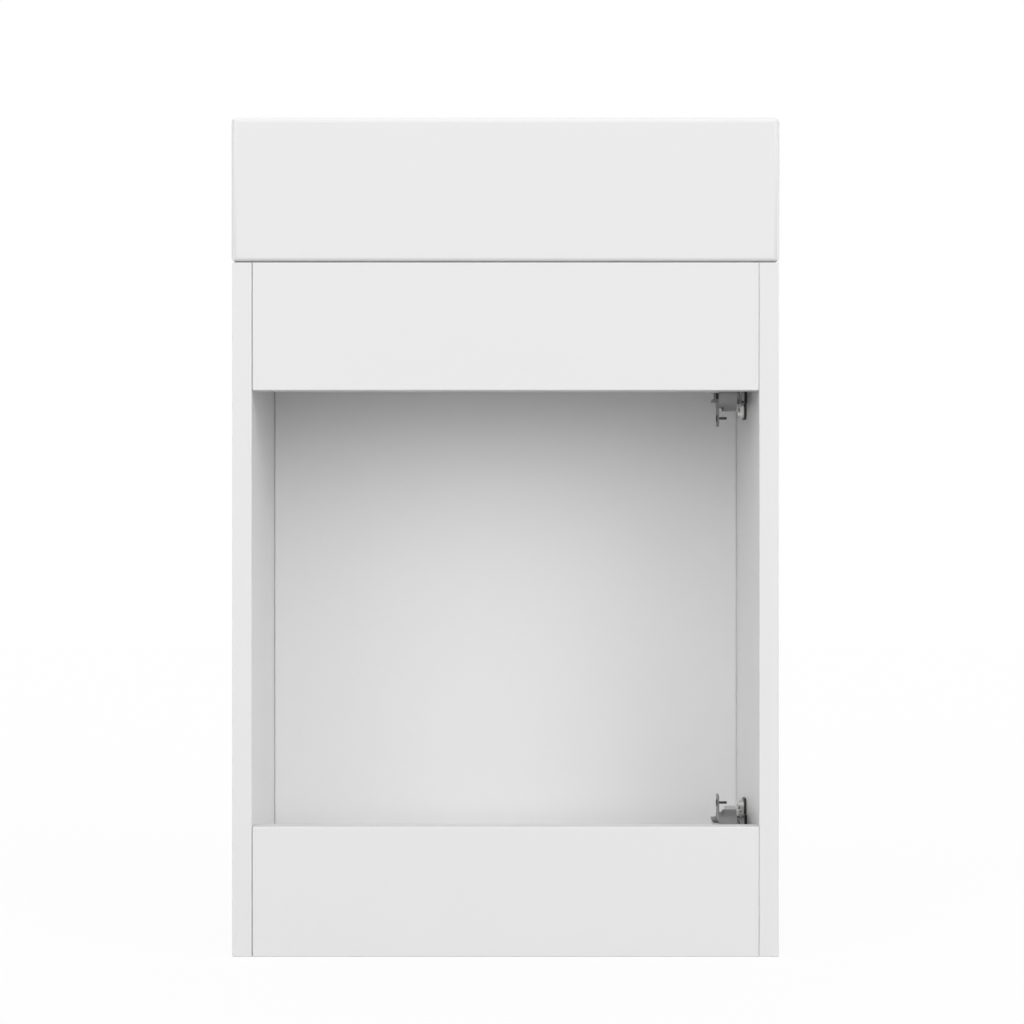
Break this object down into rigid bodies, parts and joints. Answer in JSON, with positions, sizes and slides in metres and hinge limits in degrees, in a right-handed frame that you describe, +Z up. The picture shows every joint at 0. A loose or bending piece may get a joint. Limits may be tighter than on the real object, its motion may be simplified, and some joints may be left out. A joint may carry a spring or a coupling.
{
  "type": "vanity unit",
  "caption": "Narrow vanity unit: slab-fronted ceramic basin on a white cabinet with fixed fascia and plinth, open compartment and concealed cup hinges on the right side.",
  "frame": {"origin": "on the floor, at the middle of the basin's plan", "axes": "+X to the right seen from the front, +Y from the front to the wall, +Z up"},
  "size_m": [0.502, 0.25, 0.768],
  "materials": {
    "white_front_board": "particle board with a smooth satin white coating",
    "white_inner_board": "particle board with a satin white melamine face",
    "white_ceramic": "gloss white glaze",
    "sealant": "grey silicone",
    "cast_zinc": "plain zinc casting",
    "steel": "zinc-plated",
    "nickel": "nickel-plated steel",
    "dark_nickel": "nickel-plated steel, darker",
    "chrome": "polished",
    "beech": "plain grooveless dowel"
  },
  "bodies": {
    "cabinet": {"left_side_panel": "white_front_board", "right_side_panel": "white_front_board", "fascia_panel": "white_front_board", "plinth_panel": "white_front_board", "floor_panel": "white_inner_board", "back_panel": "white_inner_board", "front_top_rail": "white_inner_board", "rear_upper_rail": "white_inner_board", "rear_lower_rail": "white_inner_board", "cam_locks": "cast_zinc", "cam_bolts": "steel", "wooden_dowels": "beech", "basin": "white_ceramic", "basin_sealant": "sealant", "overflow_ring": "chrome", "top_hinge_plate": "dark_nickel", "top_hinge_plate_cover": "nickel", "top_hinge_plate_screws": "nickel", "top_hinge_arm": "nickel", "top_hinge_adjusting_screws": "nickel", "top_hinge_arm_pins": "steel", "low_hinge_plate": "dark_nickel", "low_hinge_plate_cover": "nickel", "low_hinge_plate_screws": "nickel", "low_hinge_arm": "nickel", "low_hinge_adjusting_screws": "nickel", "low_hinge_arm_pins": "steel"},
    "top_hinge_outer_link": {"top_hinge_outer_link": "dark_nickel", "top_hinge_spring": "steel"},
    "top_hinge_inner_link": {"top_hinge_inner_link": "nickel"},
    "top_hinge_cup": {"top_hinge_cup": "dark_nickel", "top_hinge_cup_pins": "steel", "top_hinge_cup_studs": "dark_nickel"},
    "low_hinge_outer_link": {"low_hinge_outer_link": "dark_nickel", "low_hinge_spring": "steel"},
    "low_hinge_inner_link": {"low_hinge_inner_link": "nickel"},
    "low_hinge_cup": {"low_hinge_cup": "dark_nickel", "low_hinge_cup_pins": "steel", "low_hinge_cup_studs": "dark_nickel"}
  },
  "joints": [
    {"name": "top_hinge_swing", "type": "hinge", "parent": "cabinet", "child": "top_hinge_outer_link", "pos_m": [0.226, -0.02485, 0.52], "axis": [0, 0, -1], "range_deg": [0, 20.25]},
    {"name": "top_hinge_inner_swing", "type": "hinge", "parent": "cabinet", "child": "top_hinge_inner_link", "pos_m": [0.2242, -0.03205, 0.52], "axis": [0, 0, -1], "range_deg": [0, 37]},
    {"name": "top_hinge_cup_turn", "type": "hinge", "parent": "top_hinge_outer_link", "child": "top_hinge_cup", "pos_m": [0.2122, -0.0576, 0.52], "axis": [0, 0, -1], "range_deg": [0, 69.8]},
    {"name": "low_hinge_swing", "type": "hinge", "parent": "cabinet", "child": "low_hinge_outer_link", "pos_m": [0.226, -0.02485, 0.109], "axis": [0, 0, -1], "range_deg": [0, 20.25]},
    {"name": "low_hinge_inner_swing", "type": "hinge", "parent": "cabinet", "child": "low_hinge_inner_link", "pos_m": [0.2242, -0.03205, 0.109], "axis": [0, 0, -1], "range_deg": [0, 37]},
    {"name": "low_hinge_cup_turn", "type": "hinge", "parent": "low_hinge_outer_link", "child": "low_hinge_cup", "pos_m": [0.2122, -0.0576, 0.109], "axis": [0, 0, -1], "range_deg": [0, 69.8]}
  ],
  "couplings": [
    {"joint": "top_hinge_inner_swing", "follows": "top_hinge_swing", "ratio": 1.8257},
    {"joint": "top_hinge_cup_turn", "follows": "top_hinge_swing", "ratio": 3.4449},
    {"joint": "low_hinge_inner_swing", "follows": "low_hinge_swing", "ratio": 1.8257},
    {"joint": "low_hinge_cup_turn", "follows": "low_hinge_swing", "ratio": 3.4449}
  ]
}
